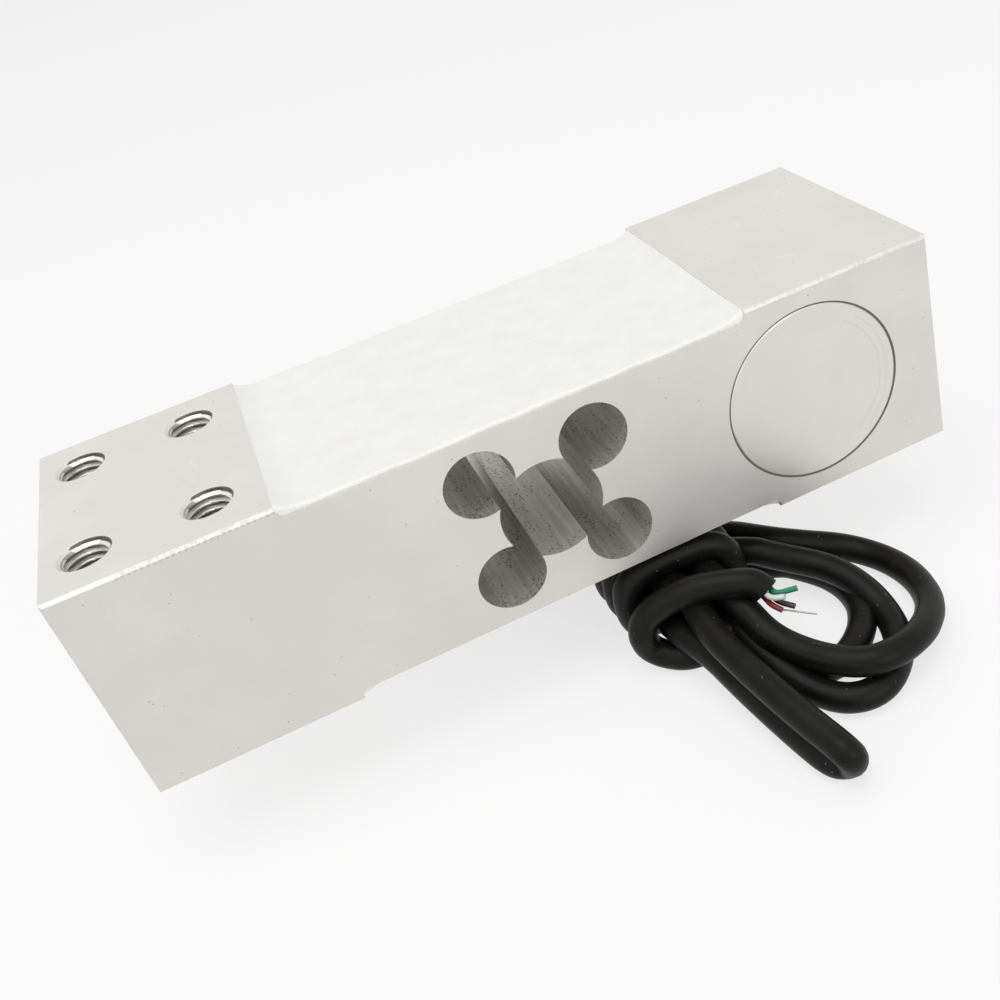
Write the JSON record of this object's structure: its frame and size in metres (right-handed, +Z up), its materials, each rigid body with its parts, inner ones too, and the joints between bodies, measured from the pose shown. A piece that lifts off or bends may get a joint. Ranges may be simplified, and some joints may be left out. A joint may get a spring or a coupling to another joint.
{
  "type": "single point load cell",
  "caption": "Rectangular aluminium bending beam with a bored flexure, sealed gauge recesses, threaded ends and a wound signal cable.",
  "frame": {"origin": "centre of the spring element, in the middle of the flexure", "axes": "+X along the block from the free, loaded end to the fixed end; +Y from the covered side to the cable side; +Z up, the direction opposite to the load"},
  "size_m": [0.15, 0.1259, 0.0589],
  "materials": {
    "aluminium": "satin machined",
    "cover": "fine satin",
    "sealant": "white silicone, soft sheen",
    "bead": "dark adhesive",
    "gauge": "amber film",
    "copper": "bright copper",
    "enamel": "enamelled wire",
    "pad": "matt foam",
    "board": "green lacquer",
    "resistor": "matt black",
    "solder": "bright tin",
    "bush": "matt black",
    "jacket": "satin black",
    "core_red": "semi-gloss",
    "core_black": "semi-gloss",
    "core_green": "semi-gloss",
    "core_white": "semi-gloss",
    "tinned": "tinned copper"
  },
  "bodies": {
    "root": {"spring_element": "aluminium", "strain_gauge_top_load": "gauge", "strain_gauge_top_fixed": "gauge", "strain_gauge_bottom_load": "gauge", "strain_gauge_bottom_fixed": "gauge", "terminal_strip_top": "gauge", "terminal_strip_bottom": "gauge", "gauge_leads_top": "copper", "gauge_leads_bottom": "copper", "bridge_wires_top": "enamel", "bridge_wires_bottom": "enamel", "top_sealant": "sealant", "bottom_sealant": "sealant", "side_cover": "cover", "cover_bead": "bead", "board_pad": "pad", "trim_board": "board", "trim_resistors": "resistor", "solder_joints": "solder", "cable_bush": "bush", "cable_entry": "jacket", "inner_core_red": "core_red", "inner_core_black": "core_black", "inner_core_green": "core_green", "inner_core_white": "core_white", "cable_run": "jacket", "cable_hank": "jacket", "core_end_green": "core_green", "core_end_white": "core_white", "core_end_red": "core_red", "core_end_black": "core_black", "drain_wire": "tinned"}
  },
  "joints": []
}
